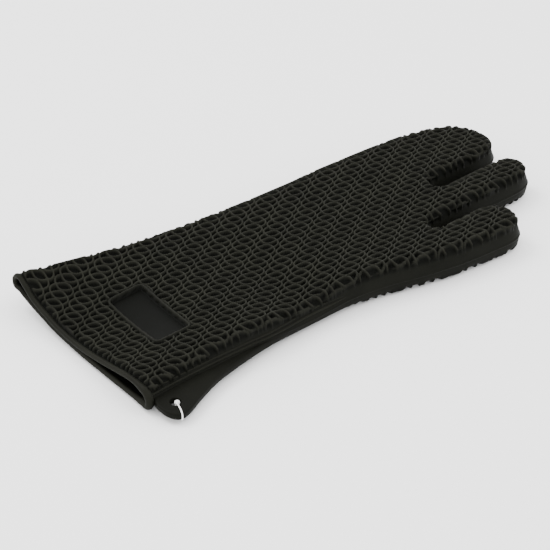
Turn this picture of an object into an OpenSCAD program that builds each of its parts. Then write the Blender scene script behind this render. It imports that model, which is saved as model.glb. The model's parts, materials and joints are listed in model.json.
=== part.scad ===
// Heat resistant glove: moulded silicone gauntlet with a wide finger mitt, an index finger and a
// thumb, lying flat on its palm. X runs from the cuff to the fingertips, Y across, Z up.

/* [Glove] */
// Length from the cuff rim to the longest fingertip
glove_length = 350; // [340:1:360]
// Thickness over the ribs with the glove lying flat
glove_thickness = 24; // [22:0.5:27]
// Silicone wall under the ribs
wall = 2.5; // [2:0.1:3]
// Height of the grip ribs over the wall
rib_height = 3; // [2.5:0.1:3.5]
// Wall along the sides of the glove
side_wall = 3; // [2.5:0.1:3.5]

/* [Cuff] */
// Far edge of the cuff from the centre line
cuff_far = 83; // [78:0.5:88]
// Near edge of the cuff from the centre line
cuff_near = 63; // [60:0.5:67]
// Radius of the rolled rim
rim_radius = 1.8; // [1.4:0.1:1.9]
// How far the back of the cuff sinks at its mouth
cuff_sag = 12; // [0:0.5:12]
// Length of the cuff's sinking part
cuff_length = 110; // [90:1:120]

/* [Wrist and hand] */
// Far edge at the wrist from the centre line
wrist_far = 57; // [54:0.5:60]
// Near edge at the wrist from the centre line
wrist_near = 60; // [57:0.5:62]
// Far edge at the knuckles from the centre line
knuckle_far = 61; // [58:0.5:63]
// Near edge at the thumb's knuckle from the centre line
thumb_near = 75; // [72:0.5:77]

/* [Fingers] */
// Width of the wide finger mitt at its knuckle
mitt_width = 57; // [55:0.5:59]
// Width of the index finger
index_width = 28; // [26:0.5:29]
// Width of the thumb
thumb_width = 29; // [27:0.5:30]
// Gap between the mitt and the index finger
index_gap = 11; // [10:0.5:12]
// Gap between the index finger and the thumb
thumb_gap = 8; // [7:0.5:9]
// Bottom of the gap beside the mitt
index_crotch = 104; // [100:1:106]
// Bottom of the gap beside the thumb
thumb_crotch = 70; // [66:1:72]
// Bend line of the mitt and of the index finger
finger_knuckle = 119; // [118:0.5:121]
// Bend line of the thumb
thumb_knuckle = 85; // [84:0.5:87]
// End of the index finger
index_tip = 168; // [160:1:172]
// End of the thumb
thumb_tip = 122; // [118:1:126]
// Furthest curl of a finger towards the palm, in degrees
curl_range = 60; // [30:1:60]
// Furthest lift of a finger towards the back, in degrees
lift_range = 15; // [0:1:15]

/* [Label] */
// Label length across the glove
label_width = 59; // [52:1:62]
// Label length along the glove
label_length = 27; // [24:1:30]
// Width of the raised frame
label_frame_width = 2.6; // [2:0.1:3.2]
// Centre of the label along the glove
label_x = -129; // [-134:1:-125]
// Centre of the label across the glove
label_y = -2; // [-5:1:2]

/* [Hanging tab] */
// Radius of the tab's round end
tab_radius = 10.3; // [9:0.1:11]
// Radius of the hanging hole
hole_radius = 4.1; // [3.5:0.1:5]
// Thickness of the tab
tab_thickness = 4; // [3:0.5:5]
// Height of the tab's underside over the ground
tab_lift = 5; // [4:0.5:6]

/* [Tag] */
// Diameter of the nylon filament
filament = 1; // [0.8:0.1:1.2]
// Clearance between the filament and the tab
filament_gap = 0.6; // [0.4:0.1:1]

/* [Hidden] */

$fn = 64;
running = 0.35;
silicone = [0.13, 0.13, 0.12];
rib_colour = [0.19, 0.19, 0.17];
nylon = [0.92, 0.92, 0.90];

// Levels from the ground up
rib_z = rib_height;
palm_z = rib_height + wall;
back_z = glove_thickness - rib_height - wall;
crown_z = glove_thickness - rib_height;
mid_z = glove_thickness / 2;
sink = min(cuff_sag, back_z - palm_z - 1);
knuckle_radius = glove_thickness / 2;

// Stations along the glove
tip_x = 175;
rim_x = tip_x - glove_length + rim_radius;
cuff_x = rim_x + rim_radius;
hand_x = cuff_x + cuff_length;

// Rows across the fingers, counted down from the far side
mitt_near_y = 1;
mitt_far_y = mitt_near_y + mitt_width;
index_far_y = mitt_near_y - index_gap;
index_near_y = index_far_y - index_width;
thumb_far_y = index_near_y - thumb_gap;
thumb_near_y = thumb_far_y - thumb_width;
index_gap_y = (mitt_near_y + index_far_y) / 2;
thumb_gap_y = (index_near_y + thumb_far_y) / 2;

// Edges of the glove, as distance along and distance across
far_edge = [
    [cuff_x, cuff_far],
    [-112, wrist_far + 0.7 * (cuff_far - wrist_far)],
    [-76, wrist_far + 0.45 * (cuff_far - wrist_far)],
    [-40, wrist_far + 0.22 * (cuff_far - wrist_far)],
    [10, wrist_far],
    [70, knuckle_far],
    [finger_knuckle, mitt_far_y]
];
near_edge = [
    [cuff_x, -cuff_near],
    [-112, -wrist_near - 0.2 * (cuff_near - wrist_near)],
    [-30, -wrist_near],
    [25, -wrist_near - 0.4 * (thumb_near - wrist_near)],
    [60, -wrist_near - 0.9 * (thumb_near - wrist_near)],
    [thumb_knuckle, -thumb_near]
];
function far_y(x) = lookup(x, far_edge);
function near_y(x) = lookup(x, near_edge);

// Shape of the sinking back of the cuff
function fade(s) = pow(1 - min(1, max(0, s)), 2) * (1 + 2 * min(1, max(0, s)));
function across(x, y) = (y - near_y(x)) / (far_y(x) - near_y(x));
function sag(x, y) = -sink * fade((x - cuff_x) / cuff_length)
    * max(0, sin(180 * pow(min(1, max(0, across(x, y))), 1.6)));

// A round corner of an outline as a run of points
function corner(x, y, r, a0, a1) = [
    for (k = [0:6]) let (a = a0 + (a1 - a0) * k / 6) [x + r * cos(a), y + r * sin(a)]
];

// ---- outlines ----

module strip_outline(x0, x1, inset) {
    xs = [for (p = far_edge) if (p[0] > x0 && p[0] < x1) p[0]];
    ns = [for (p = near_edge) if (p[0] > x0 && p[0] < x1) p[0]];
    far_run = concat([x0], xs, [x1]);
    near_run = concat([x0], ns, [x1]);
    last = len(near_run) - 1;
    polygon(concat(
        [for (x = far_run) [x, far_y(x) - inset]],
        [for (k = [0:last]) let (x = near_run[last - k]) [x, near_y(x) + inset]]
    ));
}

// The space between two fingers, grown by a margin
module gap_outline(x, y, width, grow) {
    r = width / 2 + grow;
    translate([x + width / 2, y]) {
        circle(r = r);
        translate([0, -r])
            square([120, 2 * r]);
    }
}

module hand_outline(inset) {
    difference() {
        strip_outline(hand_x, finger_knuckle + 1, inset);
        gap_outline(index_crotch, index_gap_y, index_gap, inset);
        gap_outline(thumb_crotch, thumb_gap_y, thumb_gap, inset);
        translate([thumb_knuckle, -200])
            square([100, 200 + thumb_gap_y]);
    }
}

// Finger outlines, set in by a margin, from behind the knuckle to the tip
module mitt_outline(inset) {
    far_r = 28 - inset;
    near_r = 11 - inset;
    polygon(concat(
        [[finger_knuckle - knuckle_radius, mitt_near_y + inset]],
        corner(tip_x - 11, mitt_near_y + 11, near_r, -90, 0),
        corner(tip_x - 28, mitt_far_y - 33, far_r, 0, 82),
        corner(finger_knuckle + 4, mitt_far_y - 28, far_r, 82, 90),
        [[finger_knuckle - knuckle_radius, mitt_far_y - inset]]
    ));
}

module index_outline(inset) {
    r = 13 - inset;
    polygon(concat(
        [[finger_knuckle - knuckle_radius, index_near_y + inset]],
        corner(index_tip - 13, index_near_y + 13, r, -90, 0),
        corner(index_tip - 13, index_far_y - 13, r, 0, 90),
        [[finger_knuckle - knuckle_radius, index_far_y - inset]]
    ));
}

module thumb_outline(inset) {
    r = 13 - inset;
    polygon(concat(
        [[thumb_knuckle - knuckle_radius, thumb_near_y + inset]],
        corner(thumb_tip - 13, thumb_near_y + 13, r, -90, 0),
        corner(thumb_tip - 13, thumb_far_y - 13, r, 0, 90),
        [[thumb_knuckle - knuckle_radius, thumb_far_y - inset]]
    ));
}

// ---- knuckles ----

module knuckle_barrel(x, radius, y0, y1) {
    translate([x, y1, mid_z])
        rotate([90, 0, 0])
            cylinder(r = radius, h = y1 - y0);
}

// The part of a finger that lies in front of its bend line, with its round end
module finger_zone(x, y0, y1) {
    knuckle_barrel(x, knuckle_radius, y0, y1);
    translate([x, y0, -1])
        cube([120, y1 - y0, glove_thickness + 2]);
}

// The room that a bending finger needs in the hand
module finger_sweep(x, y0, y1) {
    knuckle_barrel(x, knuckle_radius + running, y0, y1);
    for (angle = [-lift_range, 0, curl_range])
        translate([x, y0, mid_z])
            rotate([0, angle, 0])
                translate([-running, 0, -knuckle_radius - running])
                    cube([120, y1 - y0, glove_thickness + 2 * running]);
}

module finger_part(x, y0, y1, low, high) {
    intersection() {
        translate([0, 0, low])
            linear_extrude(height = high - low)
                children();
        finger_zone(x, y0, y1);
    }
}

module mitt_part(low, high) {
    finger_part(finger_knuckle, index_gap_y, 90, low, high)
        children();
}

module index_part(low, high) {
    finger_part(finger_knuckle, thumb_gap_y, index_gap_y, low, high)
        children();
}

module thumb_part(low, high) {
    finger_part(thumb_knuckle, -90, thumb_gap_y, low, high)
        children();
}

module hand_part(low, high) {
    difference() {
        translate([0, 0, low])
            linear_extrude(height = high - low)
                children();
        finger_sweep(finger_knuckle, index_gap_y, 100);
        finger_sweep(finger_knuckle, thumb_gap_y, index_gap_y);
        finger_sweep(thumb_knuckle, -100, thumb_gap_y);
    }
}

// ---- cuff ----

function grid_id(k, i, j, nx, ny) = k * (nx + 1) * (ny + 1) + i * (ny + 1) + j;

// A sheet over the cuff that follows the sinking back, between two heights over the wall's top
module cuff_sheet(low, high) {
    nx = 14;
    ny = 18;
    points = [
        for (k = [0, 1], i = [0:nx], j = [0:ny])
            let (
                x = cuff_x + cuff_length * i / nx,
                y0 = near_y(x) + side_wall,
                y1 = far_y(x) - side_wall,
                y = y0 + (y1 - y0) * j / ny
            )
            [x, y, crown_z + sag(x, y) + (k == 0 ? low : high)]
    ];
    flat = [
        for (i = [0:nx - 1], j = [0:ny - 1])
            let (
                a = grid_id(1, i, j, nx, ny),
                b = grid_id(1, i + 1, j, nx, ny),
                c = grid_id(1, i + 1, j + 1, nx, ny),
                d = grid_id(1, i, j + 1, nx, ny),
                n = (nx + 1) * (ny + 1)
            )
            each [[a, c, b], [a, d, c], [a - n, b - n, c - n], [a - n, c - n, d - n]]
    ];
    ends = [
        for (j = [0:ny - 1], i = [0, nx])
            let (
                a = grid_id(0, i, j, nx, ny),
                b = grid_id(0, i, j + 1, nx, ny),
                c = grid_id(1, i, j + 1, nx, ny),
                d = grid_id(1, i, j, nx, ny)
            )
            each i == 0 ? [[a, b, c], [a, c, d]] : [[a, c, b], [a, d, c]]
    ];
    sides = [
        for (i = [0:nx - 1], j = [0, ny])
            let (
                a = grid_id(0, i, j, nx, ny),
                b = grid_id(0, i + 1, j, nx, ny),
                c = grid_id(1, i + 1, j, nx, ny),
                d = grid_id(1, i, j, nx, ny)
            )
            each j == 0 ? [[a, c, b], [a, d, c]] : [[a, b, c], [a, c, d]]
    ];
    polyhedron(points, concat(flat, ends, sides), convexity = 6);
}

module label_prism(inset) {
    r = 5 - inset;
    length = label_length - 2 * inset;
    width = label_width - 2 * inset;
    translate([label_x, label_y, 0])
        linear_extrude(height = 60) {
            square([length, width - 2 * r], center = true);
            square([length - 2 * r, width], center = true);
            for (sx = [-1, 1], sy = [-1, 1])
                translate([sx * (length / 2 - r), sy * (width / 2 - r)])
                    circle(r = r);
        }
}

module cuff_back_wall() {
    color(silicone)
        cuff_sheet(-wall, 0);
}

module cuff_back_ribs() {
    color(rib_colour)
        difference() {
            cuff_sheet(0, rib_height);
            label_prism(0);
        }
}

module label_frame() {
    color(silicone)
        difference() {
            intersection() {
                cuff_sheet(0, rib_height + 0.4);
                label_prism(0);
            }
            label_prism(label_frame_width);
        }
}

module label_panel() {
    color(silicone)
        intersection() {
            cuff_sheet(0, 0.8);
            label_prism(label_frame_width);
        }
}

module cuff_palm_wall() {
    color(silicone)
        translate([0, 0, rib_z])
            linear_extrude(height = wall)
                strip_outline(cuff_x, hand_x, side_wall);
}

module cuff_palm_ribs() {
    color(rib_colour)
        linear_extrude(height = rib_height)
            strip_outline(cuff_x, hand_x, side_wall);
}

// One side wall of a stretch of the glove
module side_strip(x0, x1, far) {
    intersection() {
        difference() {
            strip_outline(x0, x1, 0);
            strip_outline(x0 - 1, x1 + 1, side_wall);
        }
        translate([-300, far ? 0 : -200])
            square([600, 200]);
    }
}

module cuff_far_side() {
    color(silicone)
        translate([0, 0, rib_z])
            linear_extrude(height = crown_z - rib_z)
                side_strip(cuff_x, hand_x, true);
}

module cuff_near_side() {
    color(silicone)
        translate([0, 0, rib_z])
            linear_extrude(height = crown_z - rib_z)
                side_strip(cuff_x, hand_x, false);
}

// ---- rim ----

rim_top = crown_z - 1;
rim_low = rib_z + 1;
rim_half = (rim_top - rim_low) / 2;
rim_far_y = cuff_far - rim_half - rim_radius;
rim_near_y = -cuff_near + rim_half + rim_radius;

// Mouth of the cuff, as distance across and height
function mouth_side(y, sign, a0, a1) = [
    for (k = [0:8]) let (a = a0 + (a1 - a0) * k / 8)
        [y + sign * rim_half * cos(a), rim_low + rim_half + rim_half * sin(a)]
];
function mouth_top() = [
    for (k = [1:17]) let (y = rim_near_y + (rim_far_y - rim_near_y) * k / 18)
        [y, rim_top + sag(cuff_x, y) - sag(cuff_x, rim_near_y)]
];

module rim_run(path) {
    n = len(path);
    m = 12;
    points = [
        for (i = [0:n - 1])
            let (
                q = path[min(n - 1, i + 1)] - path[max(0, i - 1)],
                t = q / norm(q)
            )
            for (k = [0:m - 1]) let (a = 360 * k / m)
                [
                    rim_x + rim_radius * cos(a),
                    path[i][0] - rim_radius * sin(a) * t[1],
                    path[i][1] + rim_radius * sin(a) * t[0]
                ]
    ];
    skin = [
        for (i = [0:n - 2], k = [0:m - 1])
            let (
                a = i * m + k,
                b = i * m + (k + 1) % m,
                c = b + m,
                d = a + m
            )
            each [[a, b, c], [a, c, d]]
    ];
    ends = [
        [for (k = [0:m - 1]) m - 1 - k],
        [for (k = [0:m - 1]) (n - 1) * m + k]
    ];
    polyhedron(points, concat(skin, ends), convexity = 6);
}

module rim_back() {
    color(rib_colour)
        rim_run(concat(
            mouth_side(rim_near_y, -1, 2, 90),
            mouth_top(),
            mouth_side(rim_far_y, 1, 90, 2)
        ));
}

module rim_palm() {
    color(rib_colour)
        rim_run(concat(
            mouth_side(rim_near_y, -1, -2, -90),
            mouth_side(rim_far_y, 1, -90, -2)
        ));
}

// ---- hanging tab, seam and tag ----

hole_x = rim_x + rim_radius + tab_radius - 0.8;
hole_y = -82 + tab_radius;
tab_top = tab_lift + tab_thickness;

module hanging_tab() {
    color(silicone)
        translate([0, 0, tab_lift])
            linear_extrude(height = tab_thickness)
                difference() {
                    union() {
                        translate([hole_x, hole_y])
                            circle(r = tab_radius);
                        polygon([
                            [cuff_x + 0.5, -cuff_near + 8],
                            [hole_x - tab_radius, hole_y],
                            [hole_x + 0.35 * tab_radius, hole_y - 0.93 * tab_radius],
                            [hole_x + 29, -wrist_near - 13],
                            [hole_x + 51, -wrist_near - 6.5],
                            [hole_x + 73, -wrist_near - 3],
                            [hand_x, -wrist_near + 2]
                        ]);
                    }
                    strip_outline(cuff_x - 20, hand_x + 1, 0);
                    translate([hole_x, hole_y])
                        circle(r = hole_radius);
                }
}

// Raised parting line along the near side, over the tab
module seam_bead() {
    bead = 1.6;
    color(silicone)
        translate([0, 0, tab_top + 2])
            linear_extrude(height = bead)
                difference() {
                    translate([0, -bead])
                        strip_outline(cuff_x + 1, hand_x, 0);
                    strip_outline(cuff_x, hand_x + 1, 0);
                }
}

loop_in = 1.5;
loop_out = tab_radius + filament_gap + filament / 2;
loop_low = tab_lift - filament_gap - filament / 2;
loop_high = tab_top + filament_gap + filament / 2;
bend = 1.2;

// A quarter bend of the filament, in the plane along the tag and upright
module filament_bend(x, z, turn) {
    translate([x, 0, z])
        rotate([90, turn, 0])
            rotate_extrude(angle = 90)
                translate([bend, 0])
                    circle(d = filament);
}

module tag_frame() {
    translate([hole_x, hole_y, 0])
        rotate([0, 0, -105])
            children();
}

module tag_loop() {
    color(nylon)
        tag_frame() {
            for (x = [loop_in, loop_out])
                translate([x, 0, loop_low + bend])
                    cylinder(d = filament, h = loop_high - loop_low - 2 * bend);
            for (z = [loop_low, loop_high])
                translate([loop_in + bend, 0, z])
                    rotate([0, 90, 0])
                        cylinder(d = filament, h = loop_out - loop_in - 2 * bend);
            filament_bend(loop_in + bend, loop_low + bend, 180);
            filament_bend(loop_out - bend, loop_low + bend, 90);
            filament_bend(loop_out - bend, loop_high - bend, 0);
            filament_bend(loop_in + bend, loop_high - bend, 270);
        }
}

// Lock of the tag, standing on the loop over the hole
module tag_head() {
    color(nylon)
        tag_frame()
            translate([loop_in + 1.6, 0, loop_high + filament / 2]) {
                cylinder(d = 3.6, h = 1.4);
                translate([0, 0, 1.4])
                    sphere(d = 2.2);
            }
}

// ---- hand ----

module hand_back_wall() {
    color(silicone)
        hand_part(back_z, crown_z)
            hand_outline(side_wall);
}

module hand_back_ribs() {
    color(rib_colour)
        hand_part(crown_z, glove_thickness)
            hand_outline(side_wall);
}

module hand_palm_wall() {
    color(silicone)
        hand_part(rib_z, palm_z)
            hand_outline(side_wall);
}

module hand_palm_ribs() {
    color(rib_colour)
        hand_part(0, rib_z)
            hand_outline(side_wall);
}

module hand_far_side() {
    color(silicone)
        hand_part(rib_z, crown_z)
            side_strip(hand_x, finger_knuckle + 1, true);
}

module hand_near_side() {
    color(silicone)
        hand_part(rib_z, crown_z)
            side_strip(hand_x, thumb_knuckle, false);
}

// Wall round the bottom of the gap between two fingers
module web_outline(x, y, width, stop) {
    difference() {
        gap_outline(x, y, width, side_wall);
        gap_outline(x, y, width, 0);
        translate([stop, y - 50])
            square([100, 100]);
    }
}

module index_web() {
    color(silicone)
        hand_part(rib_z, crown_z)
            web_outline(index_crotch, index_gap_y, index_gap, finger_knuckle);
}

module thumb_web() {
    color(silicone)
        hand_part(rib_z, crown_z)
            difference() {
                web_outline(thumb_crotch, thumb_gap_y, thumb_gap, finger_knuckle);
                translate([thumb_knuckle, -200])
                    square([100, 200 + thumb_gap_y]);
            }
}

// ---- mitt ----

module mitt_back_wall() {
    color(silicone)
        mitt_part(back_z, crown_z)
            mitt_outline(side_wall);
}

module mitt_back_ribs() {
    color(rib_colour)
        mitt_part(crown_z, glove_thickness)
            mitt_outline(side_wall);
}

module mitt_palm_wall() {
    color(silicone)
        mitt_part(rib_z, palm_z)
            mitt_outline(side_wall);
}

module mitt_palm_ribs() {
    color(rib_colour)
        mitt_part(0, rib_z)
            mitt_outline(side_wall);
}

module mitt_side() {
    color(silicone)
        mitt_part(rib_z, crown_z)
            difference() {
                mitt_outline(0);
                mitt_outline(side_wall);
            }
}

// ---- index finger ----

module index_back_wall() {
    color(silicone)
        index_part(back_z, crown_z)
            index_outline(side_wall);
}

module index_back_ribs() {
    color(rib_colour)
        index_part(crown_z, glove_thickness)
            index_outline(side_wall);
}

module index_palm_wall() {
    color(silicone)
        index_part(rib_z, palm_z)
            index_outline(side_wall);
}

module index_palm_ribs() {
    color(rib_colour)
        index_part(0, rib_z)
            index_outline(side_wall);
}

module index_side() {
    color(silicone)
        index_part(rib_z, crown_z)
            difference() {
                index_outline(0);
                index_outline(side_wall);
            }
}

// ---- thumb ----

module thumb_back_wall() {
    color(silicone)
        thumb_part(back_z, crown_z)
            thumb_outline(side_wall);
}

module thumb_back_ribs() {
    color(rib_colour)
        thumb_part(crown_z, glove_thickness)
            thumb_outline(side_wall);
}

module thumb_palm_wall() {
    color(silicone)
        thumb_part(rib_z, palm_z)
            thumb_outline(side_wall);
}

module thumb_palm_ribs() {
    color(rib_colour)
        thumb_part(0, rib_z)
            thumb_outline(side_wall);
}

module thumb_side() {
    color(silicone)
        thumb_part(rib_z, crown_z)
            difference() {
                thumb_outline(0);
                thumb_outline(side_wall);
            }
}

// ---- nodes ----

cuff_back_wall();
cuff_back_ribs();
label_frame();
label_panel();
cuff_palm_wall();
cuff_palm_ribs();
cuff_far_side();
cuff_near_side();
rim_back();
rim_palm();
hanging_tab();
seam_bead();
hand_back_wall();
hand_back_ribs();
hand_palm_wall();
hand_palm_ribs();
hand_far_side();
hand_near_side();
index_web();
thumb_web();
mitt_back_wall();
mitt_back_ribs();
mitt_palm_wall();
mitt_palm_ribs();
mitt_side();
index_back_wall();
index_back_ribs();
index_palm_wall();
index_palm_ribs();
index_side();
thumb_back_wall();
thumb_back_ribs();
thumb_palm_wall();
thumb_palm_ribs();
thumb_side();
tag_loop();
tag_head();
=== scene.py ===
import json
import math
from collections import namedtuple

import bpy
import numpy as np
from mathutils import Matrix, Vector
from mathutils.geometry import tessellate_polygon
from mathutils.kdtree import KDTree


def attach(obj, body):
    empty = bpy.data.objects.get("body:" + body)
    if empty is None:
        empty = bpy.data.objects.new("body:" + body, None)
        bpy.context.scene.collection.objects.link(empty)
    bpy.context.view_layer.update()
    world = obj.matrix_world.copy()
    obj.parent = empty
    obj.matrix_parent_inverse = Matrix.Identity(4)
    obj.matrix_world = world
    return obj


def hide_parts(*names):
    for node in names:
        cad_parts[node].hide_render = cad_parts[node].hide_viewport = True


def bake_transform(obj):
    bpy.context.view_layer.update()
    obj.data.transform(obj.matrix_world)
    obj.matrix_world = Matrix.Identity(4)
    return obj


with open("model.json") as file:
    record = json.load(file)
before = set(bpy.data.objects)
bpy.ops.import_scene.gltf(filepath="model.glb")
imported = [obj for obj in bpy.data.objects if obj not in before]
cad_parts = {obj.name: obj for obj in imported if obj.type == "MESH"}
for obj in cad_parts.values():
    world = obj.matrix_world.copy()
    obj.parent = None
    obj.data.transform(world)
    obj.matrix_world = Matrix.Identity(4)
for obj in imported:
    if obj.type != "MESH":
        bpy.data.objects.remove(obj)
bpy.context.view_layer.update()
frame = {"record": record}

# All shapes are worked out in millimetres, in the frame's own axes: X runs from the cuff to the
# fingertips, Y across the hand away from the thumb, and Z up from the palm.
MM = 0.001

# ---------------------------------------------------------------- sizes

CUFF_X = -172.4  # where the skin runs into the rolled rim
GRID = 0.5  # spacing of the skin's mesh
WALL_TOP = 21.0  # outer faces of the upper and the lower wall, where the glove lies flat
WALL_LOW = 3.0
WALL = 2.5
THINNEST = 2.0  # the least there is from the upper to the lower face
RIB = 3.0
SHOULDER = 7.5  # the skin turns down the side over this width
WALL_PAINTED_LIGHT = 0.55  # painted light on the smooth side walls and the tab, between the pits' painted shade, 0, and the ribs' painted highlight, 1
TOOTH_DEPTH = 3.2  # nearer the outline the ribs run straight down the side
TOOTH_LENGTH = 1.1  # and a rib that ends within this length of there makes no tooth
FLOOR_GAP = 0.1  # the palm's ribs flatten against the ground

# The outline lies in three runs joined by the round ends of the two gaps, each given as its centre
# and radius. The runs go on past the rim, so that the skin is cut square there.
FAR_EDGE = [(-205, 85), (-190, 82.4), (-171, 79.6), (-157, 76.5), (-140, 73.9), (-112, 70.2),
            (-76, 66.3), (-40, 60.6), (-10, 58.6), (15, 58), (33, 57.9), (52, 58.6), (70, 58.3),
            (88, 57.8), (104.5, 57), (120.5, 56), (136.5, 54), (152, 49.9), (166, 43.9), (175, 32.8),
            (178, 20.2), (176.2, 9.5), (169.5, 2.4), (158, 0), (140, -0.5), (120, -1), (112, -1)]
INDEX_CROTCH = (110.5, -6.0, 5.0)
INDEX_EDGE = [(112, -11), (125, -10.8), (140, -10.3), (154, -10), (163.5, -10.6), (170, -15.6),
              (172.4, -23.8), (168.6, -32.6), (159.5, -37), (148, -38.2), (130, -38.2), (110, -38),
              (92, -38), (77, -38)]
THUMB_CROTCH = (74.2, -42.0, 4.0)
THUMB_EDGE = [(77, -46), (88, -46), (100, -46), (109, -46.8), (117.4, -50.5), (122.2, -57.5),
              (122.8, -66), (118.2, -75), (108, -78.8), (90.5, -78.2), (66.5, -76.2), (42.5, -71.9),
              (24.5, -67.3), (11.5, -64), (-13, -60.3), (-28, -59.9), (-52, -60.2), (-78, -60.7),
              (-95, -60.1), (-112, -60), (-130, -60.4), (-145, -61), (-160, -62), (-171, -62.8),
              (-190, -63.6), (-205, -64)]

# Where each finger parts from the hand
FINGER_X = 104.0
THUMB_X = 70.0


# ---------------------------------------------------------------- outline

def smooth_run(points, step=0.6):
    """Catmull-Rom curve through the points, without its first and last one."""
    p = np.array(points, float)
    out = []
    for i in range(len(p) - 1):
        p0, p1, p2 = p[max(i - 1, 0)], p[i], p[i + 1]
        p3 = p[min(i + 2, len(p) - 1)]
        n = max(2, int(np.linalg.norm(p2 - p1) / step))
        t = (np.arange(n) / n)[:, None]
        out.append(0.5 * (2 * p1 + (p2 - p0) * t + (2 * p0 - 5 * p1 + 4 * p2 - p3) * t ** 2
                          + (3 * p1 - p0 - 3 * p2 + p3) * t ** 3))
    out.append(p[-1:])
    return np.concatenate(out)


def crotch_run(x, y, r):
    a = np.radians(np.linspace(90, 270, 28))
    return np.stack([x + r * np.cos(a), y + r * np.sin(a)], 1)


def glove_outline():
    runs = [smooth_run(FAR_EDGE), crotch_run(*INDEX_CROTCH), smooth_run(INDEX_EDGE),
            crotch_run(*THUMB_CROTCH), smooth_run(THUMB_EDGE)]
    line = np.concatenate(runs)
    keep = np.r_[True, np.linalg.norm(np.diff(line, axis=0), axis=1) > 0.05]
    return line[keep]


OUTLINE = glove_outline()
_tree = KDTree(len(OUTLINE))
for _i, _p in enumerate(OUTLINE):
    _tree.insert((_p[0], _p[1], 0), _i)
_tree.balance()


def nearest_on_outline(x, y):
    """The nearest point of the outline, and its distance, for each point."""
    q = np.stack([x, y], 1)
    near = np.array([_tree.find((a, b, 0))[1] for a, b in q])
    best = np.full(len(q), np.inf)
    point = np.zeros_like(q)
    for shift in (-1, 0):
        a = OUTLINE[np.clip(near + shift, 0, len(OUTLINE) - 2)]
        b = OUTLINE[np.clip(near + shift, 0, len(OUTLINE) - 2) + 1]
        ab = b - a
        t = np.clip(((q - a) * ab).sum(1) / np.maximum((ab * ab).sum(1), 1e-9), 0, 1)
        c = a + ab * t[:, None]
        d = np.linalg.norm(q - c, axis=1)
        better = d < best
        best[better] = d[better]
        point[better] = c[better]
    return point, best


def inside_outline(xs, ys):
    """Which points of a grid lie inside the outline."""
    a = OUTLINE
    b = np.roll(OUTLINE, -1, axis=0)
    inside = np.zeros((len(xs), len(ys)), bool)
    for i, x in enumerate(xs):
        hit = (a[:, 0] > x) != (b[:, 0] > x)
        ya = a[hit, 1] + (b[hit, 1] - a[hit, 1]) * (x - a[hit, 0]) / (b[hit, 0] - a[hit, 0])
        inside[i] = (ya[None, :] > ys[:, None]).sum(1) % 2 == 1
    return inside


# ---------------------------------------------------------------- how the glove lies

def ease(t):
    t = np.clip(t, 0, 1)
    return t * t * (3 - 2 * t)


def rise_from(start, width, value):
    """0 up to start, then a smooth rise to 1 over the width."""
    return ease((value - start) / width)


# The hand's own far and near edge, short of the mitt's tip and of the thumb's
_far = smooth_run(FAR_EDGE[:18])
_near = smooth_run(THUMB_EDGE[9:])[::-1]


def share_across(x, y):
    """0 at the near edge and 1 at the far edge of the hand."""
    far = np.interp(x, _far[:, 0], _far[:, 1])
    near = np.interp(x, _near[:, 0], _near[:, 1])
    return np.clip((y - near) / (far - near), 0, 1)


# The mouth of the cuff as it lies: place across, then the middle of the upper and lower wall. It is
# pinched shut beside the far corner, and that corner curls up.
MOUTH = [(-62.6, 10.2, 6.9), (-59.6, 12.3, 4.9), (-56, 13.6, 3.9), (-51, 14.4, 3.4), (-45, 14.6, 3.2),
         (-38, 13.9, 3.2), (-28, 12.2, 3.2), (-11, 9.3, 3.3), (6, 7.4, 3.5), (20, 7.3, 4.4),
         (35, 8.9, 5.9), (44, 11.0, 7.8), (52, 13.2, 9.6), (60, 16.4, 11.6), (67, 21.4, 13.6),
         (72, 24.8, 15.6), (77, 26.0, 18.0), (82, 26.0, 20.0)]
SAG_LENGTH = 100  # the upper and the lower wall lie flat again this far in from the mouth
CURL_LENGTH = 75
HAND_SINK = 2.2  # midway across, the back of the hand lies this much lower
FINGER_SINK = 0.4  # share of the sinking that is left at the fingers
SINK_FADE = (60, 60)  # where it starts to lessen, and over what length
WRIST_DIP = 5.5  # the near side lies flatter at the wrist
WRIST_X = -47
WRIST_LENGTH = 27

_mouth_top = smooth_run([(y, top) for y, top, _ in MOUTH])
_mouth_low = smooth_run([(y, low) for y, _, low in MOUTH])


def lie(x, y):
    """How far the upper and the lower wall lie above or below their flat places."""
    t = share_across(x, y)
    near = np.interp(CUFF_X, _near[:, 0], _near[:, 1])
    far = np.interp(CUFF_X, _far[:, 0], _far[:, 1])
    at_mouth = near + (far - near) * t
    top = np.interp(at_mouth, _mouth_top[:, 0], _mouth_top[:, 1]) + WALL / 2 - WALL_TOP
    low = np.interp(at_mouth, _mouth_low[:, 0], _mouth_low[:, 1]) - WALL / 2 - WALL_LOW
    run = np.clip((x - CUFF_X) / SAG_LENGTH, 0, 1)
    fade = (1 - run) ** 2 * (1 + run)
    sink = -HAND_SINK * np.sin(np.pi * t) * (1 - (1 - FINGER_SINK) * rise_from(*SINK_FADE, x))
    dip = -WRIST_DIP * np.exp(-((x - WRIST_X) / WRIST_LENGTH) ** 2) * (1 - t) ** 2
    return (top * fade + sink * ease(run) + dip,
            low * (1 - ease((x - CUFF_X) / CURL_LENGTH)))


# ---------------------------------------------------------------- rib pattern

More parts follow.
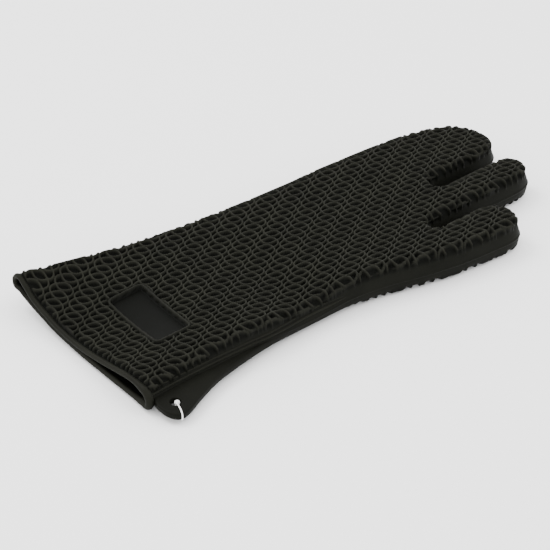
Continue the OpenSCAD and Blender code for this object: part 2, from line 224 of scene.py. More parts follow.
# The ribs are rings in slanted chains on a lattice of cells about 6.5 mm long and 4.4 mm wide. The
# two counts of cells each have a value at the frame's origin, then how much they grow over SPAN
# along the hand and over REACH across it, and then how their rows bend, spread and flare.
Cells = namedtuple("Cells", "start along across bend_along spread bend_across flare")
SPAN = 100
REACH = 60
CELLS_ALONG = Cells(4.25, 15.36, -0.27, bend_along=-0.22, spread=0.18, bend_across=-0.61, flare=0.18)
CELLS_ACROSS = Cells(-5.95, -0.47, 13.72, bend_along=-0.53, spread=0.68, bend_across=-0.41, flare=0.53)
RING = 1.16  # radius of a ring in cells, so that neighbouring rings touch
RING_POWER = 2.8  # between a circle, 2, and a square
RIB_HALF = 0.38  # half the width of a rib's flat top
RIB_FALL = 0.8  # width of its flank
TINY = 1e-9  # keeps the middle of a ring from dividing by nothing


def lattice(x, y, cells):
    """The count of cells at a place."""
    a, b = x / SPAN, y / REACH
    return (cells.start + cells.along * a + cells.across * b + cells.bend_along * a * a
            + cells.spread * a * b + cells.bend_across * b * b + cells.flare * a ** 3)


def cell_slope(x, y, cells):
    """How much the count of cells changes per millimetre, along and across."""
    a, b = x / SPAN, y / REACH
    along = cells.along + 2 * cells.bend_along * a + cells.spread * b + 3 * cells.flare * a * a
    across = cells.across + cells.spread * a + 2 * cells.bend_across * b
    return along / SPAN, across / REACH


def ring_ribs(x, y):
    """1 on top of a rib and 0 in the pits. Ring i of chain j is at (i + 2j, i - 2j) in cells."""
    cu, cv = lattice(x, y, CELLS_ALONG), lattice(x, y, CELLS_ACROSS)
    ux, uy = cell_slope(x, y, CELLS_ALONG)
    vx, vy = cell_slope(x, y, CELLS_ACROSS)
    s = (cu + cv) / 2
    t = (cu - cv) / 4
    n = RING_POWER
    rib = np.zeros_like(x)
    for dj in (-1, 0, 1):
        j = np.round(t) + dj
        for di in (-1, 0, 1, 2):
            i = np.floor(s) + di
            du = cu - (i + 2 * j)
            dv = cv - (i - 2 * j)
            r = (np.abs(du) ** n + np.abs(dv) ** n + TINY) ** (1 / n)
            gu = np.sign(du) * (np.abs(du) / r) ** (n - 1)
            gv = np.sign(dv) * (np.abs(dv) / r) ** (n - 1)
            slope = np.hypot(gu * ux + gv * vx, gu * uy + gv * vy) + TINY
            d = np.abs(r - RING) / slope
            rib = np.maximum(rib, 1 - rise_from(RIB_HALF, RIB_FALL, d))
    return rib


# ---------------------------------------------------------------- label and margins

LABEL_X, LABEL_Y = -129.0, -1.8
LABEL_HALF = (13.7, 29.5)
LABEL_TURN = math.radians(-4.0)
LABEL_ROUND = 4.5
FRAME_WIDTH = 2.4
FRAME_RISE = 0.2  # the label's frame stands this much over the ribs
FRAME_PAINTED_LIGHT = 0.8  # its painted highlight, where the ribs' painted highlight is 1
FRAME_SLOPE = 2.2  # steepness of its rounded sides

# Each of these is where something starts and over what length or width it is complete
RIM_RISE = (CUFF_X + 0.4, 0.8)  # X where the ribs start
LABEL_RISE = (-0.6, 1.0)  # distance outside the label
BACK_MARGIN = (4.8, 2.6)  # depth in from the cuff's far edge, on the back
BACK_MARGIN_END = (-95, 60)  # X where that smooth margin goes over into ribs
PALM_MARGIN = (4.0, 3.0)  # the same on the palm, on both sides of the cuff
PALM_MARGIN_END = (-30, 40)
PALM_RISE = (2, 8)  # depth over which the palm's ribs get their whole height,
PALM_EDGE_RIB = 0.7  # from this share of it by the outline


def label_distance(x, y):
    """Distance outside the label's rounded outline, negative inside it."""
    c, s = math.cos(LABEL_TURN), math.sin(LABEL_TURN)
    dx, dy = x - LABEL_X, y - LABEL_Y
    qx = np.abs(c * dx + s * dy) - LABEL_HALF[0] + LABEL_ROUND
    qy = np.abs(c * dy - s * dx) - LABEL_HALF[1] + LABEL_ROUND
    out = np.hypot(np.maximum(qx, 0), np.maximum(qy, 0))
    return out + np.minimum(np.maximum(qx, qy), 0) - LABEL_ROUND


def back_relief(x, y, depth):
    """Height over the upper wall and share of rib, which sets the painted light and shade, at a depth in
    from the outline.
    """
    d = label_distance(x, y)
    margin = (1 - rise_from(*BACK_MARGIN_END, x)) * (y > 0) * (1 - rise_from(*BACK_MARGIN, depth))
    ribs = ring_ribs(x, y) * rise_from(*RIM_RISE, x) * rise_from(*LABEL_RISE, d) * (1 - margin)
    band = 1 - np.abs(d + FRAME_WIDTH / 2) / (FRAME_WIDTH / 2)
    frame_top = ease(band * FRAME_SLOPE)
    height = np.maximum(RIB * ribs, (RIB + FRAME_RISE) * frame_top)
    return height, np.maximum(ribs, FRAME_PAINTED_LIGHT * frame_top)


def palm_relief(x, y, depth):
    """The same for the palm, whose ribs are the back's mirrored. Its height is under the wall."""
    margin = (1 - rise_from(*PALM_MARGIN_END, x)) * (1 - rise_from(*PALM_MARGIN, depth))
    ribs = ring_ribs(x, -y) * rise_from(*RIM_RISE, x) * (1 - margin)
    tall = PALM_EDGE_RIB + (1 - PALM_EDGE_RIB) * rise_from(*PALM_RISE, depth)
    return RIB * tall * ribs, ribs


# ---------------------------------------------------------------- skin

# The side's profile above and below its middle, as depth in from the outline and height off the
# middle, then how much of the ribs' height is left there. The upper half slopes outwards.
UPPER = [(7.5, 9.0, 1.0), (6.5, 8.97, 1.0), (5.6, 8.86, 1.0), (4.8, 8.58, 0.98), (4.05, 8.1, 0.92),
         (3.4, 7.45, 0.8), (2.85, 6.75, 0.6), (2.35, 6.0, 0.32), (1.9, 5.2, 0.1), (1.5, 4.4, 0.0),
         (1.12, 3.6, 0.0), (0.78, 2.8, 0.0), (0.46, 2.0, 0.0), (0.16, 1.2, 0.0), (0.04, 0.75, 0.0),
         (-0.28, 0.52, 0.0), (-0.5, 0.26, 0.0), (-0.54, 0.0, 0.0)]
LOWER = [(7.5, 9.0, 1.0), (5.4, 9.0, 1.0), (3.8, 8.96, 1.0), (2.9, 8.85, 0.95), (2.15, 8.6, 0.8),
         (1.5, 8.15, 0.55), (1.0, 7.6, 0.32), (0.65, 6.9, 0.14), (0.4, 6.1, 0.04), (0.22, 5.3, 0.0),
         (0.1, 4.4, 0.0), (0.02, 3.4, 0.0), (-0.04, 2.5, 0.0), (-0.08, 1.6, 0.0), (-0.1, 0.85, 0.0),
         (-0.28, 0.56, 0.0), (-0.5, 0.28, 0.0), (-0.54, 0.0, 0.0)]
PROFILE_HALF = 9.0  # height of either profile
PROFILE_STRAIGHT = 4.0  # a taller side is stretched below this height only
PARTING = 0.4  # height of the side's parting line between the lower and the upper wall


def side_height(z, top, low, sign):
    """Height of a place on the side's profile, between the walls at low and top."""
    middle = low + PARTING * (top - low)
    half = top - middle if sign > 0 else middle - low
    straight = (half - PROFILE_HALF + PROFILE_STRAIGHT) * z / PROFILE_STRAIGHT
    stretched = np.where(z > PROFILE_STRAIGHT, half - PROFILE_HALF + z, straight)
    return middle + sign * np.where(half > PROFILE_HALF, stretched, half * z / PROFILE_HALF)


def march(xs, ys, value):
    """Cuts a grid along value = 0.

    Returns the points inside and on the cut, the quads of whole squares, the triangles of cut
    squares, and the numbers of the cut's points in their order round it.
    """
    nx, ny = len(xs), len(ys)
    inside = value > 0
    index = np.full((nx, ny), -1)
    index[inside] = np.arange(inside.sum())
    gi, gj = np.nonzero(inside)
    points = [np.stack([xs[gi], ys[gj]], 1)]
    count = len(gi)
    full = inside[:-1, :-1] & inside[1:, :-1] & inside[1:, 1:] & inside[:-1, 1:]
    fi, fj = np.nonzero(full)
    quads = np.stack([index[fi, fj], index[fi + 1, fj], index[fi + 1, fj + 1], index[fi, fj + 1]], 1)
    some = inside[:-1, :-1] | inside[1:, :-1] | inside[1:, 1:] | inside[:-1, 1:]
    mi, mj = np.nonzero(some & ~full)
    cuts = {}
    extra = []

    def cut(a, b):
        key = (a, b) if a < b else (b, a)
        if key not in cuts:
            va, vb = value[a], value[b]
            t = va / (va - vb)
            extra.append((xs[a[0]] + (xs[b[0]] - xs[a[0]]) * t, ys[a[1]] + (ys[b[1]] - ys[a[1]]) * t))
            cuts[key] = count + len(extra) - 1
        return cuts[key]

    tris = []
    follow = {}
    for i, j in zip(mi.tolist(), mj.tolist()):
        corners = [(i, j), (i + 1, j), (i + 1, j + 1), (i, j + 1)]
        ring = []
        leave = enter = None
        for k in range(4):
            a, b = corners[k], corners[(k + 1) % 4]
            if inside[a]:
                ring.append(int(index[a]))
            if inside[a] != inside[b]:
                c = cut(a, b)
                ring.append(c)
                if inside[a]:
                    leave = c
                else:
                    enter = c
        follow[leave] = enter
        for k in range(1, len(ring) - 1):
            tris.append((ring[0], ring[k], ring[k + 1]))
    points.append(np.array(extra))
    starts = set(follow) - set(follow.values())
    run = [starts.pop()]
    while run[-1] in follow:
        run.append(follow[run[-1]])
    return np.concatenate(points), quads, np.array(tris), np.array(run)


def profile_normals(profile):
    """Outward and upward parts of the direction that the ribs rise in, for each point."""
    p = np.array([(-d, z) for d, z, _ in profile])
    t = np.gradient(p, axis=0)
    n = np.stack([-t[:, 1], t[:, 0]], 1)
    return n / np.linalg.norm(n, axis=1)[:, None]


def outline_depth(xs, ys):
    """Depth in from the outline at each point of a grid, and a small negative value outside it."""
    gx, gy = np.meshgrid(xs, ys, indexing="ij")
    inside = inside_outline(xs, ys)
    depth = np.full(gx.shape, -GRID)
    depth[inside] = nearest_on_outline(gx[inside], gy[inside])[1]
    return depth


def side_relief(q, out, depth, sign):
    """Ribs' height and share of rib on the side, for points q of the outline, at a depth in."""
    relief = back_relief if sign > 0 else palm_relief

    def at(d):
        held = q - out * d
        return relief(held[:, 0], held[:, 1], np.full(len(q), d))

    rise, rib = at(max(depth, TOOTH_DEPTH))
    if sign > 0 and depth < TOOTH_DEPTH:
        rise_in, rib_in = at(TOOTH_DEPTH + TOOTH_LENGTH)
        rise, rib = np.minimum(rise, rise_in), np.minimum(rib, rib_in)
    return rise, rib


def side_rows(p):
    """Rows of points down the side, from the upper face's edge to the lower one's, below points p, and
    each row's painted light and shade.
    """
    q, _ = nearest_on_outline(p[:, 0], p[:, 1])
    out = (q - p) / np.linalg.norm(q - p, axis=1)[:, None]
    top_lie, low_lie = lie(p[:, 0], p[:, 1])
    rows, painted_light_rows = [], []
    halves = [(1, k) for k in range(1, len(UPPER))] + [(-1, k) for k in range(len(LOWER) - 2, 0, -1)]
    for sign, k in halves:
        profile = UPPER if sign > 0 else LOWER
        depth, z, left = profile[k]
        rise, rib = side_relief(q, out, depth, sign)
        rise = rise * left
        n = profile_normals(profile)[k]
        height = side_height(z, WALL_TOP + top_lie, WALL_LOW + low_lie, sign) + sign * n[1] * rise
        rows.append(np.column_stack([q - out * depth + out * (n[0] * rise)[:, None],
                                     np.maximum(height, FLOOR_GAP)]))
        # Painted light: rib tops get the painted highlight, the smooth walls a weaker painted light
        painted_light_rows.append(np.maximum(rib * left, WALL_PAINTED_LIGHT * (1 - left)))
    return rows, painted_light_rows


def glove_skin():
    """The whole skin's points and faces, each point's share of rib, which sets its painted light and
    shade, and its place if laid flat.
    """
    xs = np.arange(CUFF_X, OUTLINE[:, 0].max() + 2, GRID)
    ys = np.arange(-80, 86, GRID)
    points, quads, tris, run = march(xs, ys, outline_depth(xs, ys) - SHOULDER)

    x, y = points.T
    _, depth = nearest_on_outline(x, y)
    top_lie, low_lie = lie(x, y)
    top_rise, top_rib = back_relief(x, y, depth)
    low_rise, low_rib = palm_relief(x, y, depth)
    top = WALL_TOP + top_lie + top_rise
    low = np.clip(WALL_LOW + low_lie - low_rise, FLOOR_GAP, top - THINNEST)
    rows, painted_light_rows = side_rows(points[run])

    count, n_run = len(points), len(run)
    strips = [run] + [2 * count + k * n_run + np.arange(n_run) for k in range(len(rows))] + [count + run]
    side = [np.stack([a[:-1], b[:-1], b[1:], a[1:]], 1) for a, b in zip(strips[:-1], strips[1:])]
    return {
        "verts": np.concatenate([np.column_stack([points, top]), np.column_stack([points, low])] + rows),
        "rib": np.concatenate([top_rib, low_rib] + painted_light_rows),
        "source": np.concatenate([points, points] + [points[run]] * len(rows)),
        "back": (quads, tris),
        "palm": (quads[:, ::-1] + count, tris[:, ::-1] + count),
        "side": (np.concatenate(side), np.zeros((0, 3), int)),
    }


# ---------------------------------------------------------------- mesh helpers

def mesh_object(name, verts, quads, tris, rib=None, normals=None):
    """A mesh of quads and triangles from points in millimetres."""
    mesh = bpy.data.meshes.new(name)
    mesh.vertices.add(len(verts))
    mesh.vertices.foreach_set("co", (np.asarray(verts) * MM).astype(np.float32).ravel())
    loops = np.concatenate([np.asarray(quads).ravel(), np.asarray(tris).ravel()]).astype(np.int32)
    starts = np.concatenate([np.arange(len(quads)) * 4, len(quads) * 4 + np.arange(len(tris)) * 3])
    mesh.loops.add(len(loops))
    mesh.loops.foreach_set("vertex_index", loops)
    mesh.polygons.add(len(quads) + len(tris))
    mesh.polygons.foreach_set("loop_start", starts.astype(np.int32))
    mesh.update(calc_edges=True)
    mesh.validate()
    mesh.shade_smooth()
    # The rib attribute carries the painted light and shade that the silicone's colour follows
    if rib is not None:
        layer = mesh.attributes.new("rib", "FLOAT", "POINT")
        layer.data.foreach_set("value", rib.astype(np.float32))
    if normals is not None:
        mesh.normals_split_custom_set_from_vertices(normals)
    obj = bpy.data.objects.new(name, mesh)
    bpy.context.scene.collection.objects.link(obj)
    return obj


def part_of_skin(name, skin, face, chosen_quads, chosen_tris, normals):
    """The chosen faces of one face of the skin, as an object with the whole skin's normals."""
    quads, tris = skin[face]
    quads, tris = quads[chosen_quads], tris[chosen_tris]
    used = np.unique(np.concatenate([quads.ravel(), tris.ravel()]).astype(int))
    new = np.full(len(skin["verts"]), -1)
    new[used] = np.arange(len(used))
    return mesh_object(name, skin["verts"][used], new[quads], new[tris], skin["rib"][used],
                       normals[used])


def body_of_points(x, y):
    """0 hand, 1 mitt, 2 index finger, 3 thumb."""
    body = np.zeros(len(x), int)
    body[(x > FINGER_X) & (y > INDEX_CROTCH[1])] = 1
    body[(x > FINGER_X) & (y <= INDEX_CROTCH[1]) & (y > THUMB_CROTCH[1])] = 2
    body[(x > THUMB_X) & (y <= THUMB_CROTCH[1])] = 3
    return body


# ---------------------------------------------------------------- materials

class Recipe:
    """A new material's nodes, with short ways to add and join them."""

    def __init__(self, name):
        self.material = bpy.data.materials.new(name)
        self.material.use_nodes = True
        self.tree = self.material.node_tree
        self.shader = self.tree.nodes["Principled BSDF"]
        self.place = self.tree.nodes.new("ShaderNodeTexCoord").outputs["Object"]

    def node(self, kind, **inputs):
        node = self.tree.nodes.new("ShaderNode" + kind)
        for name, value in inputs.items():
            self.put(node.inputs[name.replace("_", " ")], value)
        return node

    def put(self, socket, value):
        if isinstance(value, bpy.types.NodeSocket):
            self.tree.links.new(value, socket)
        else:
            socket.default_value = value

    def noise(self, scale, detail, roughness=0.5):
        return self.node("TexNoise", Scale=scale, Detail=detail, Roughness=roughness,
                         Vector=self.place).outputs["Fac"]

    def spread(self, value, source, target):
        """The value, moved from one range to another."""
        return self.node("MapRange", Value=value, From_Min=source[0], From_Max=source[1],
                         To_Min=target[0], To_Max=target[1]).outputs["Result"]

    def mix(self, share, a, b, blend="MIX"):
        node = self.tree.nodes.new("ShaderNodeMix")
        node.data_type = "RGBA"
        node.blend_type = blend
        for name, value in (("Factor", share), ("A", a), ("B", b)):
            self.put(node.inputs[name], value)
        return node.outputs["Result"]

    def bump(self, height, strength, distance):
        return self.node("Bump", Height=height, Strength=strength, Distance=distance).outputs["Normal"]

    def finish(self, **inputs):
        for name, value in inputs.items():
            self.put(self.shader.inputs[name.replace("_", " ")], value)
        return self.material


def silicone_material():
    """Matte moulded silicone: near-black, with a painted highlight on top of the ribs and painted shade
    in the pits.
    """
    mat = Recipe("moulded_silicone")
    rib = mat.node("Attribute")
    rib.attribute_name = "rib"
    painted_highlight_share = mat.node("Math")
    painted_highlight_share.operation = "POWER"
    mat.put(painted_highlight_share.inputs[0], rib.outputs["Fac"])
    mat.put(painted_highlight_share.inputs[1], 2.0)
    # Painted light: near-black painted shade where the rib attribute is 0, a paler painted highlight
    # where it is 1
    tone = mat.mix(painted_highlight_share.outputs["Value"], (0.0021, 0.0023, 0.0017, 1), (0.0116, 0.0118, 0.0088, 1))

    patches = mat.noise(55, 5, 0.55)
    cloud = mat.spread(patches, (0.3, 0.7), (0.82, 1.22))
    shade = mat.mix(1.0, tone, cloud, "MULTIPLY")
    specks = mat.spread(mat.noise(420, 6, 0.7), (0.66, 0.78), (0.0, 0.35))
    return mat.finish(
        Base_Color=mat.mix(specks, shade, (0.03, 0.03, 0.027, 1)),
        Roughness=mat.spread(patches, (0.3, 0.7), (0.43, 0.59)),
        Normal=mat.bump(mat.noise(1800, 3, 0.55), 0.35, 0.00012),
        Specular_IOR_Level=0.04,
        IOR=1.43)


def nylon_material():
    """White moulded nylon, slightly cloudy and see-through at its edges."""
    mat = Recipe("tag_nylon")
    cloud = mat.noise(700, 4)
    tone = mat.node("ValToRGB", Fac=cloud)
    tone.color_ramp.elements[0].color = (0.72, 0.72, 0.7, 1)
    tone.color_ramp.elements[1].color = (0.9, 0.9, 0.89, 1)
    return mat.finish(
        Base_Color=tone.outputs["Color"],
        Roughness=mat.spread(cloud, (0.0, 1.0), (0.28, 0.42)),
        Normal=mat.bump(cloud, 0.2, 0.00005),
        Subsurface_Weight=0.15,
        Subsurface_Radius=(0.001, 0.001, 0.001))


silicone = silicone_material()
nylon = nylon_material()


# ---------------------------------------------------------------- the skin's pieces

BODIES = ["hand", "mitt", "index", "thumb"]
STANDS_FOR = {
    ("hand", "back"): ["cuff_back_wall", "cuff_back_ribs", "hand_back_wall", "hand_back_ribs",
                       "label_frame", "label_panel"],
    ("hand", "palm"): ["cuff_palm_wall", "cuff_palm_ribs", "hand_palm_wall", "hand_palm_ribs"],
    ("hand", "side"): ["cuff_far_side", "cuff_near_side", "hand_far_side", "hand_near_side",
                       "index_web", "thumb_web"],
}
for body in BODIES[1:]:
    STANDS_FOR[body, "back"] = [body + "_back_wall", body + "_back_ribs"]
    STANDS_FOR[body, "palm"] = [body + "_palm_wall", body + "_palm_ribs"]
    STANDS_FOR[body, "side"] = [body + "_side"]


def skin_normals(skin):
    """Normals of the whole skin, so that no edge shows where its pieces meet."""
    faces = [np.concatenate([skin[face][k] for face in ("back", "palm", "side")]) for k in (0, 1)]
    whole = mesh_object("whole_skin", skin["verts"], *faces)
    normals = np.empty(len(skin["verts"]) * 3, np.float32)
    whole.data.vertices.foreach_get("normal", normals)
    bpy.data.objects.remove(whole)
    return normals.reshape(-1, 3)


def move_with_body(obj, body):
    """The hand's skin goes with the hand's body; a finger's skin keeps its place, with its transform
    baked into its points.
    """
    if body == "hand":
        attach(obj, "hand")
        return
    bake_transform(obj)


def build_skin():
    skin = glove_skin()
    normals = skin_normals(skin)
    for face in ("back", "palm", "side"):
        bodies = [body_of_points(*skin["source"][faces].mean(1).T) for faces in skin[face]]
        for number, body in enumerate(BODIES):
            obj = part_of_skin(f"{body}_{face}_skin", skin, face, bodies[0] == number,
                               bodies[1] == number, normals)
            obj.data.materials.append(silicone)
            move_with_body(obj, body)
            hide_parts(*STANDS_FOR[body, face])


build_skin()


# ---------------------------------------------------------------- rim and lining

RIM_X = -173.2
RIM_RADIUS = 1.8
RIM_THICKER = 0.45  # share by which the rim is thicker at the near side
RIM_THICK_FROM = -46  # Y where it starts to be thicker
RIM_THICK_OVER = 13
LINING_END = 61
LINING_STEP = 5


def wall_loop(x, out):
    """Closed run (across, height) round the cuff or hand at x, out from the middle of the wall."""
    near = float(np.interp(x, _near[:, 0], _near[:, 1]))
    far = float(np.interp(x, _far[:, 0], _far[:, 1]))
    thin = WALL / 2 - out
    ys = np.linspace(near + SHOULDER, far - SHOULDER, 150)
    top, low = lie(np.full(len(ys), x), ys)
    top, low = WALL_TOP + top - thin, WALL_LOW + low + thin
    d = np.array([p[0] for p in UPPER[1:]] + [p[0] for p in LOWER[-2:0:-1]])
    z = np.array([p[1] for p in UPPER[1:]] + [-p[1] for p in LOWER[-2:0:-1]]) / PROFILE_HALF
    reach = (SHOULDER - thin) / SHOULDER

    def side(edge, sign, end):
        middle, half = (top[end] + low[end]) / 2, (top[end] - low[end]) / 2
        return np.stack([edge - sign * (thin + np.maximum(d, 0) * reach), middle + half * z], 1)

    far_side, near_side = side(far, 1, -1), side(near, -1, 0)
    return np.concatenate([np.stack([ys, top], 1), far_side, np.stack([ys, low], 1)[::-1],
                           near_side[::-1]])


def even_loop(loop, step):
    """The same closed run with even steps."""
    p = np.vstack([loop, loop[:1]])
    s = np.r_[0, np.cumsum(np.linalg.norm(np.diff(p, axis=0), axis=1))]
    n = int(s[-1] / step)
    t = np.arange(n) / n * s[-1]
    return np.stack([np.interp(t, s, p[:, k]) for k in range(p.shape[1])], 1)


def tube(name, path, radius, closed=False, sides=16, tone=0.8):
    """A round bead along a run of points in millimetres, whose tone is its painted light, where the
    ribs' painted highlight is 1.
    """
    p = np.asarray(path, float)
    if closed:
        t = np.roll(p, -1, axis=0) - np.roll(p, 1, axis=0)
    else:
        t = np.gradient(p, axis=0)
    t /= np.linalg.norm(t, axis=1)[:, None]
    radius = np.broadcast_to(radius, (len(p),))
    side = np.empty_like(p)
    guide = np.cross(t[0], (0.3, 0.2, 1.0))
    for k in range(len(p)):
        guide = guide - t[k] * guide.dot(t[k])
        guide /= np.linalg.norm(guide)
        side[k] = guide
    up = np.cross(t, side)
    if closed:
        end = guide - t[0] * guide.dot(t[0])
        twist = math.atan2(end.dot(up[0]), end.dot(side[0]))
        fix = -twist * np.arange(len(p)) / len(p)
    else:
        fix = np.zeros(len(p))
    a = np.linspace(0, 2 * math.pi, sides, endpoint=False)
    ring = a[None, :] + fix[:, None]
    verts = (p[:, None] + radius[:, None, None] * (np.cos(ring)[..., None] * side[:, None]
                                                   + np.sin(ring)[..., None] * up[:, None]))
    n = len(p)
    k = np.arange(n if closed else n - 1)
    m = np.arange(sides)
    a0 = (k[:, None] * sides + m[None]).ravel()
    b0 = (k[:, None] * sides + (m[None] + 1) % sides).ravel()
    a1 = (((k[:, None] + 1) % n) * sides + m[None]).ravel()
    b1 = (((k[:, None] + 1) % n) * sides + (m[None] + 1) % sides).ravel()
    verts = verts.reshape(-1, 3)
    quads = np.stack([a0, a1, b1, b0], 1)
    tris = np.zeros((0, 3), int)
    if not closed:
        verts = np.vstack([verts, p[:1] - t[0] * radius[0] * 0.5, p[-1:] + t[-1] * radius[-1] * 0.5])
        s, e = n * sides, n * sides + 1
        start = np.stack([np.full(sides, s), m, (m + 1) % sides], 1)
        last = (n - 1) * sides
        finish = np.stack([np.full(sides, e), last + (m + 1) % sides, last + m], 1)
        tris = np.vstack([start, finish])
    return mesh_object(name, verts, quads, tris, np.full(len(verts), tone))


def rolled_rim():
    loop = even_loop(wall_loop(CUFF_X, 0), 0.8)
    path = np.column_stack([np.full(len(loop), RIM_X), loop])
    thick = RIM_RADIUS * (1 + RIM_THICKER * ease((RIM_THICK_FROM - loop[:, 0]) / RIM_THICK_OVER))
    obj = tube("rolled_rim", path, thick, closed=True)
    obj.data.materials.append(silicone)
    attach(obj, "hand")
    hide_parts("rim_back", "rim_palm")


def inner_lining():
    """The inside of the cuff and palm, one wall in from the skin."""
    xs = np.r_[RIM_X + 0.4, np.arange(-170, LINING_END, LINING_STEP)]
    loops = [wall_loop(max(x, CUFF_X), -WALL / 2) for x in xs]
    rows = [np.column_stack([np.full(len(loop), x), loop]) for x, loop in zip(xs, loops)]
    n = len(rows[0])
    verts = np.concatenate(rows)
    k, m = np.meshgrid(np.arange(len(rows) - 1), np.arange(n), indexing="ij")
    a = (k * n + m).ravel()
    b = (k * n + (m + 1) % n).ravel()
    quads = np.stack([a, b, b + n, a + n], 1)
    # The lining gets the pits' painted shade all over.
    obj = mesh_object("inner_lining", verts, quads, np.zeros((0, 3), int), np.zeros(len(verts)))
    obj.data.materials.append(silicone)
    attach(obj, "hand")


rolled_rim()
inner_lining()


# ---------------------------------------------------------------- hanging tab and parting seam

TAB_EDGE = [(-169.5, -60.8), (-171.8, -65.5), (-172.2, -71), (-171.2, -77), (-168.5, -81.3),
            (-164.5, -83), (-159.5, -82.2), (-153.5, -79.8), (-147.5, -77), (-137.5, -73),
            (-127.5, -69.6), (-114.5, -66.8), (-98.5, -64.1), (-86, -62.5), (-74, -61.4), (-64, -60.3)]
TAB_ROOT = [(-64, -58.8), (-84, -58.8), (-110, -58.4), (-135, -58.8), (-155, -59.8)]
TAB_ROOT_Y = -60
TAB_WIDTH = 23
TAB_HEIGHT = (7.4, 5.6)  # its middle's height at the glove and at the free edge
TAB_MIDDLE = sum(TAB_HEIGHT) / 2
TAB_HALF = 2.2  # half its thickness
TAB_ROUND = 1.2
TAB_STEPS = 13  # points over its rounded edge
TAB_REACH = 11.5  # from the hole to the free edge

HOLE = next(joint["pos_m"] for joint in frame["record"]["behaviour"]["joints"]
            if joint["name"] == "tag_swing")
HOLE_X, HOLE_Y = HOLE[0] / MM, HOLE[1] / MM
HOLE_RADIUS = 3.4


def run_normals(p):
    t = np.roll(p, -1, axis=0) - np.roll(p, 1, axis=0)
    n = np.stack([t[:, 1], -t[:, 0]], 1)
    return n / np.linalg.norm(n, axis=1)[:, None]


def tab_runs():
    """The tab's outline, anticlockwise, and its hole, clockwise, each with how far it is rounded."""
    edge = even_loop(np.concatenate([smooth_run(TAB_EDGE), np.array(TAB_ROOT, float)]), 1.0)
    x, y = edge[:, 0], edge[:, 1]
    if (x * np.roll(y, -1) - np.roll(x, -1) * y).sum() < 0:
        edge = edge[::-1]
    a = np.linspace(0, 2 * math.pi, 40, endpoint=False)
    hole = np.stack([HOLE_X + HOLE_RADIUS * np.cos(-a), HOLE_Y + HOLE_RADIUS * np.sin(-a)], 1)
    return (edge, TAB_ROUND), (hole, TAB_ROUND / 2)


def tab_ring(run, rounding, turn):
    """The run where its rounded edge has come to this turn, from the top, 90, to the bottom, -90."""
    p = run - run_normals(run) * rounding * (1 - math.cos(turn))
    share = np.clip((TAB_ROOT_Y - p[:, 1]) / TAB_WIDTH, 0, 1)
    z = TAB_HEIGHT[0] + (TAB_HEIGHT[1] - TAB_HEIGHT[0]) * share + rounding * math.sin(turn)
    if abs(turn) > 0.01:
        z = z + math.copysign(TAB_HALF - rounding, turn)
    return np.column_stack([p, z])


def tab_face(runs, above):
    """Triangles over the tab's top or bottom, round the hole, with their normals outwards."""
    index = np.concatenate([start + np.arange(len(p)) for start, p in runs])
    points = np.concatenate([p[:, :2] for _, p in runs])
    flat = [[Vector((x, y, 0)) for x, y in p[:, :2]] for _, p in runs]
    tris = np.array([list(t) for t in tessellate_polygon(flat)])
    a, b, c = points[tris[0]]
    upwards = (b[0] - a[0]) * (c[1] - a[1]) - (b[1] - a[1]) * (c[0] - a[0]) > 0
    return index[tris] if upwards == above else index[tris[:, ::-1]]


def hanging_tab():
    turns = np.radians(np.linspace(90, -90, TAB_STEPS))
    verts, quads, tops, bottoms = [], [], [], []
    base = 0
    for run, rounding in tab_runs():
        n = len(run)
        rings = [tab_ring(run, rounding, turn) for turn in turns]
        verts += rings
        last = base + n * (TAB_STEPS - 1)
        tops.append((base, rings[0]))
        bottoms.append((last, rings[-1]))
        m = np.arange(n)
        for a in range(base, last, n):
            quads.append(np.stack([a + m, a + n + m, a + n + (m + 1) % n, a + (m + 1) % n], 1))
        base = last + n
    verts = np.concatenate(verts)
    tris = np.concatenate([tab_face(tops, True), tab_face(bottoms, False)])
    obj = mesh_object("hanging_tab_skin", verts, np.concatenate(quads), tris,
                      np.full(len(verts), WALL_PAINTED_LIGHT))
    obj.data.materials.append(silicone)
    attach(obj, "hand")
    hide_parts("hanging_tab")


SEAM_LINES = (("seam_line_upper", 1.4, 0.62), ("seam_line_lower", -0.9, 0.8))  # height, radius
SEAM_ENDS = (-171.5, 2)
SEAM_LOWEST = 12.4  # the pair follows the middle of the side, but no lower than this
SEAM_OVER = 1.0  # and this much over that middle
SEAM_FADE = (-40, 42)  # X where the lines start to sink in and thin out, and over what length
SEAM_SUNK = 0.15  # how deep a line's middle lies in the skin
SEAM_FADE_SUNK = 0.7  # how much deeper it has got where it ends
SEAM_THIN = 0.35  # share of its radius that it has there


def parting_seam():
    """Two fine lines along the near side where the mould's halves met."""
    xs = np.arange(*SEAM_ENDS, 1.0)
    near = np.interp(xs, _near[:, 0], _near[:, 1])
    top_lie, low_lie = lie(xs, near + SHOULDER)
    top, low = WALL_TOP + top_lie, WALL_LOW + low_lie
    fade = 1 - rise_from(*SEAM_FADE, xs)
    depths = [d for d, z, _ in UPPER][::-1]
    levels = np.array([side_height(z, top, low, 1) for d, z, _ in UPPER][::-1]).T
    for name, rise, radius in SEAM_LINES:
        height = np.maximum((top + low) / 2 + SEAM_OVER, SEAM_LOWEST) + rise * fade
        inward = np.array([np.interp(h, level, depths) for h, level in zip(height, levels)])
        path = np.stack([xs, near + inward + SEAM_SUNK + SEAM_FADE_SUNK * (1 - fade), height], 1)
        obj = tube(name, path, radius * (SEAM_THIN + (1 - SEAM_THIN) * fade), sides=12)
        obj.data.materials.append(silicone)
        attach(obj, "hand")
        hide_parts("seam_bead")


hanging_tab()
parting_seam()


# ---------------------------------------------------------------- tag

FILAMENT = 0.45  # radius
FILAMENT_TURN = math.radians(-105)  # the way it leaves the hole, seen from above
KNOB_X, KNOB_Y = HOLE_X + 0.8, HOLE_Y - 0.6
KNOB = [(0.0, -2.6), (0.9, -2.4), (1.4, -1.6), (1.6, -0.6), (1.75, 0.4), (1.7, 1.5), (1.25, 2.3),
        (0.6, 2.65), (0.0, 2.75)]  # radius and height over the tab's middle


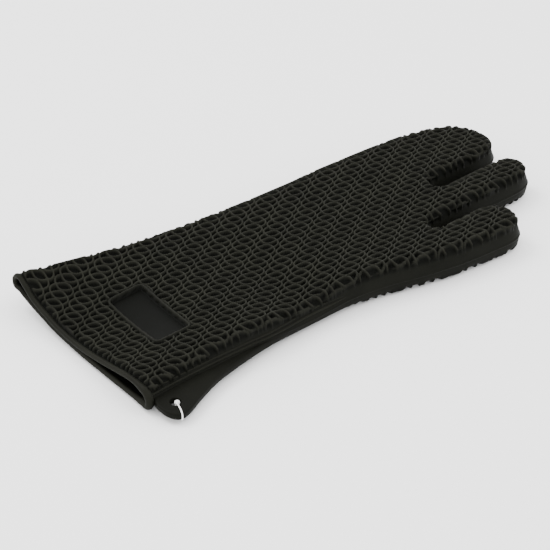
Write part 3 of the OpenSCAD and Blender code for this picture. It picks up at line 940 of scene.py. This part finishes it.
def tag_knob():
    """The tag's lock, a small bulb pulled into the hanging hole."""
    run = smooth_run(KNOB, 0.3)
    run[:, 0] = np.maximum(run[:, 0], 0.0)
    sides = 28
    a = np.linspace(0, 2 * math.pi, sides, endpoint=False)
    inner = run[1:-1]
    rings = [np.column_stack([KNOB_X + r * np.cos(a), KNOB_Y + r * np.sin(a),
                              np.full(sides, TAB_MIDDLE + z)]) for r, z in inner]
    poles = np.array([(KNOB_X, KNOB_Y, TAB_MIDDLE + z) for z in (run[0, 1], run[-1, 1])])
    verts = np.concatenate(rings + [poles])
    m = np.arange(sides)
    quads = np.concatenate([np.stack([k * sides + m, k * sides + (m + 1) % sides,
                                      (k + 1) * sides + (m + 1) % sides, (k + 1) * sides + m], 1)
                            for k in range(len(inner) - 1)])
    low, top = len(verts) - 2, len(verts) - 1
    last = (len(inner) - 1) * sides
    tris = np.concatenate([np.stack([np.full(sides, low), (m + 1) % sides, m], 1),
                           np.stack([np.full(sides, top), last + m, last + (m + 1) % sides], 1)])
    return mesh_object("tag_knob", verts, quads, tris)


def tag_filament():
    """The tag's filament, from the lock over the tab's edge and back up through the hole."""
    c, n = math.cos(FILAMENT_TURN), math.sin(FILAMENT_TURN)
    edge = TAB_REACH
    # out from the hole, to the side, and over the tab's middle
    shape = [(0.2, 0, 0.9), (1.4, 0, 1.9), (2.8, 0.1, 2.6), (4.4, 0.3, 2.8), (edge - 3, 0.3, 2.4),
             (edge - 1.2, 0.1, 2.0), (edge + 0.1, 0, 1.2), (edge + 0.6, 0, -0.7), (edge + 0.1, 0, -2.8),
             (edge - 1.4, 0, -3.7), (5, -0.1, -3.3), (2.2, 0, -2.9), (0.9, 0, -1.6)]
    path = np.array([(HOLE_X - 0.3 + c * a - n * b, HOLE_Y + 0.3 + n * a + c * b, TAB_MIDDLE + z)
                     for a, b, z in shape])
    return tube("tag_filament", smooth_run(path, 0.4), FILAMENT, sides=14)


for obj, node in ((tag_filament(), "tag_loop"), (tag_knob(), "tag_head")):
    obj.data.materials.append(nylon)
    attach(obj, "tag")
    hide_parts(node)


# ---------------------------------------------------------------- camera, floor and light

TARGET = Vector((-26.3, 1.5, 0)) * MM
CAMERA_UP, CAMERA_TURN = math.radians(34.5), math.radians(39.48)
CAMERA_AWAY = 1.288
LENS, SENSOR = 130.8, 36
FLOOR_SIZE = 12


def place_camera():
    ahead = Vector((math.sin(CAMERA_TURN) * math.cos(CAMERA_UP),
                    math.cos(CAMERA_TURN) * math.cos(CAMERA_UP), -math.sin(CAMERA_UP)))
    cam = bpy.data.objects.new("camera", bpy.data.cameras.new("camera"))
    bpy.context.scene.collection.objects.link(cam)
    cam.location = TARGET - ahead * CAMERA_AWAY
    cam.rotation_euler = ahead.to_track_quat("-Z", "Y").to_euler()
    cam.data.lens = LENS
    cam.data.sensor_width = SENSOR
    cam.data.clip_end = 20
    bpy.context.scene.camera = cam


def lay_floor():
    r = FLOOR_SIZE / 2
    mesh = bpy.data.meshes.new("floor")
    mesh.from_pydata([(-r, -r, 0), (r, -r, 0), (r, r, 0), (-r, r, 0)], [], [(0, 1, 2, 3)])
    floor = bpy.data.objects.new("floor", mesh)
    bpy.context.scene.collection.objects.link(floor)
    floor.data.materials.append(Recipe("floor").finish(Base_Color=(0.95, 0.95, 0.95, 1), Roughness=0.9))


def add_light(name, place, size, power):
    """A soft round light that points at the origin."""
    light = bpy.data.lights.new(name, "AREA")
    light.shape = "DISK"
    light.size = size
    light.energy = power
    obj = bpy.data.objects.new(name, light)
    bpy.context.scene.collection.objects.link(obj)
    obj.location = place
    obj.rotation_euler = (-Vector(place)).to_track_quat("-Z", "Y").to_euler()


def light_studio():
    world = bpy.data.worlds.new("studio")
    bpy.context.scene.world = world
    world.use_nodes = True
    world.node_tree.nodes["Background"].inputs["Color"].default_value = (1, 1, 1, 1)
    world.node_tree.nodes["Background"].inputs["Strength"].default_value = 2.6
    add_light("key", (-0.6, 0.9, 1.6), 0.9, 22)
    add_light("fill", (0.9, -0.8, 1.4), 1.2, 8)


place_camera()
lay_floor()
light_studio()
